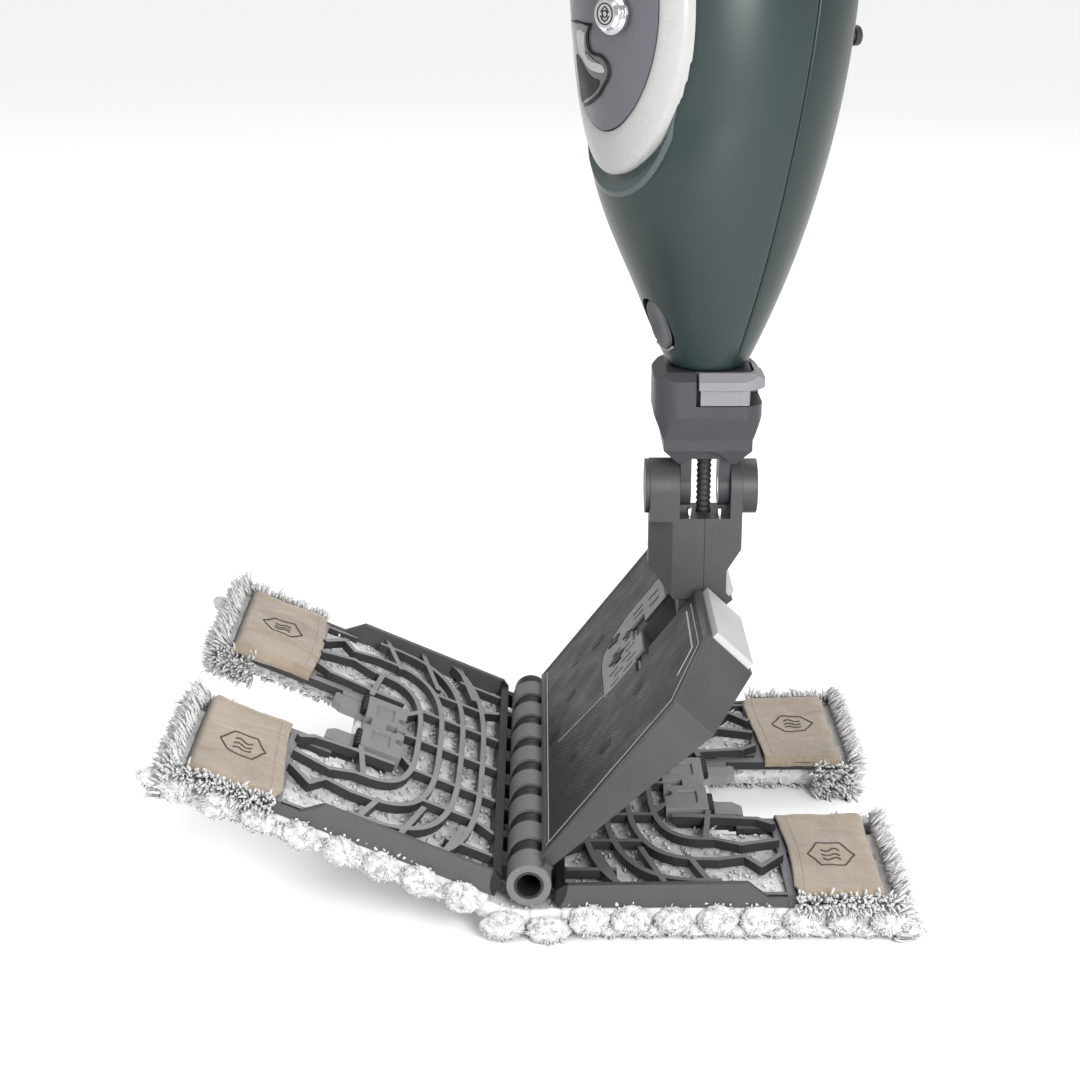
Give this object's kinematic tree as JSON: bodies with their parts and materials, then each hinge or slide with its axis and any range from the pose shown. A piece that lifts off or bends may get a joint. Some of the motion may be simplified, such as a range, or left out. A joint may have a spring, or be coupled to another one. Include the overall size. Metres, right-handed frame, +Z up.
{
  "type": "steam mop",
  "caption": "Upright steam mop with a two-sided folding head: two lattice wings with pad pockets close like a book on a wedge-shaped steam plate.",
  "frame": {"origin": "on the floor under the middle of the open pad, on the centre line of the head", "axes": "+Z up along the neck and handle, Y along the head hinge, the left wing towards -X and the right wing towards +X"},
  "size_m": [0.408, 0.292, 1.2],
  "materials": {
    "green_shell": "satin gloss",
    "pale_gloss": "satin gloss",
    "panel_grey": "satin",
    "tinted_clear": "clear, smoke tinted",
    "bright_knob": "satin chrome plated",
    "dark_plastic": "fine texture",
    "steel": "bright",
    "board": "solder mask",
    "hose_rubber": "matte",
    "light_button": "satin",
    "tube_metal": "satin anodised",
    "collar_grey": "satin",
    "neck_grey": "satin",
    "head_grey": "satin",
    "sole_grey": "fine diagonal ribs",
    "pale_cover": "satin",
    "microfibre": "tufted pile",
    "beige_cloth": "woven"
  },
  "bodies": {
    "handle_unit": {"front_shell": "green_shell", "rear_shell": "green_shell", "front_ring": "pale_gloss", "control_panel": "panel_grey", "tank_window": "tinted_clear", "water_tank": "tinted_clear", "boiler": "steel", "pump": "dark_plastic", "circuit_board": "board", "feed_hose": "hose_rubber", "boiler_hose": "hose_rubber", "swivel_spigot": "dark_plastic", "cord_hook_lower": "dark_plastic", "cord_gland": "hose_rubber", "top_cap": "dark_plastic", "handle_tube": "tube_metal", "grip_left": "dark_plastic", "grip_right": "dark_plastic", "trigger_pin": "steel", "hook_clamp": "dark_plastic", "shell_screws": "steel"},
    "knob": {"steam_knob": "bright_knob"},
    "filler_cap": {"tank_cap": "dark_plastic"},
    "shell_button": {"body_release_button": "light_button"},
    "steam_trigger": {"trigger": "light_button"},
    "upper_hook": {"cord_hook_upper": "dark_plastic"},
    "collar_unit": {"collar": "collar_grey", "lean_pins": "steel", "swivel_seal": "hose_rubber"},
    "neck_button": {"collar_button": "light_button"},
    "fork_unit": {"fork_left": "neck_grey", "fork_right": "neck_grey", "steam_hose": "hose_rubber", "guide_pins": "steel", "tilt_pin": "steel"},
    "steam_head": {"plate_core": "head_grey", "sole_left": "sole_grey", "sole_right": "sole_grey", "outlet_grille_left": "light_button", "outlet_grille_right": "light_button", "end_cover_near": "pale_cover", "end_cover_far": "pale_cover", "hinge_tube": "dark_plastic", "steam_duct": "pale_cover", "plate_screws": "steel", "pad_centre": "microfibre"},
    "left_wing": {"wing_left": "head_grey", "latch_block_left": "light_button", "latch_hooks_left": "dark_plastic", "pad_left": "microfibre", "pocket_left_near": "beige_cloth", "pocket_left_far": "beige_cloth"},
    "right_wing": {"wing_right": "head_grey", "latch_block_right": "light_button", "latch_hooks_right": "dark_plastic", "pad_right": "microfibre", "pocket_right_near": "beige_cloth", "pocket_right_far": "beige_cloth"}
  },
  "joints": [
    {"name": "body_swivel", "type": "hinge", "parent": "handle_unit", "child": "collar_unit", "pos_m": [0.09594, 0, 0.27], "axis": [0, 0, 1], "range_deg": [-45, 135]},
    {"name": "neck_lean", "type": "hinge", "parent": "collar_unit", "child": "fork_unit", "pos_m": [0.09594, 0, 0.21305], "axis": [1, 0, 0], "range_deg": [-30, 30], "deforming": ["steam_hose"]},
    {"name": "head_tilt", "type": "hinge", "parent": "fork_unit", "child": "steam_head", "pos_m": [0.09594, 0, 0.13805], "axis": [0, 1, 0], "range_deg": [-118, 47]},
    {"name": "left_wing_fold", "type": "hinge", "parent": "steam_head", "child": "left_wing", "pos_m": [-0.00295, 0, 0.032], "axis": [0, 1, 0], "range_deg": [-5, 105], "deforming": ["pad_centre"]},
    {"name": "right_wing_fold", "type": "hinge", "parent": "steam_head", "child": "right_wing", "pos_m": [-0.00295, 0, 0.032], "axis": [0, -1, 0], "range_deg": [-68, 42], "deforming": ["pad_centre"]},
    {"name": "collar_button_press", "type": "slide", "parent": "collar_unit", "child": "neck_button", "axis": [-0.7071, 0.7071, 0], "range_m": [0, 0.0015], "stiffness_N_per_m": 600},
    {"name": "shell_button_press", "type": "slide", "parent": "handle_unit", "child": "shell_button", "axis": [0.8097, 0.4305, 0.3987], "range_m": [0, 0.0015], "stiffness_N_per_m": 600},
    {"name": "steam_knob_turn", "type": "hinge", "parent": "handle_unit", "child": "knob", "pos_m": [0.0425, -0.0516, 0.477], "axis": [-0.7193, -0.6947, 0], "range_deg": [-120, 120]},
    {"name": "tank_cap_turn", "type": "hinge", "parent": "handle_unit", "child": "filler_cap", "pos_m": [0.04737, -0.02582, 0.64], "axis": [-0.8829, -0.4695, 0], "range_deg": [0, 90]},
    {"name": "trigger_pull", "type": "hinge", "parent": "handle_unit", "child": "steam_trigger", "pos_m": [0.08887, -0.00376, 1.106], "axis": [0.4695, -0.8829, 0], "range_deg": [0, 8], "stiffness_Nm_per_rad": 1},
    {"name": "cord_hook_turn", "type": "hinge", "parent": "handle_unit", "child": "upper_hook", "pos_m": [0.11801, 0.01174, 0.994], "axis": [0.8829, 0.4695, 0], "range_deg": [0, 180]}
  ]
}
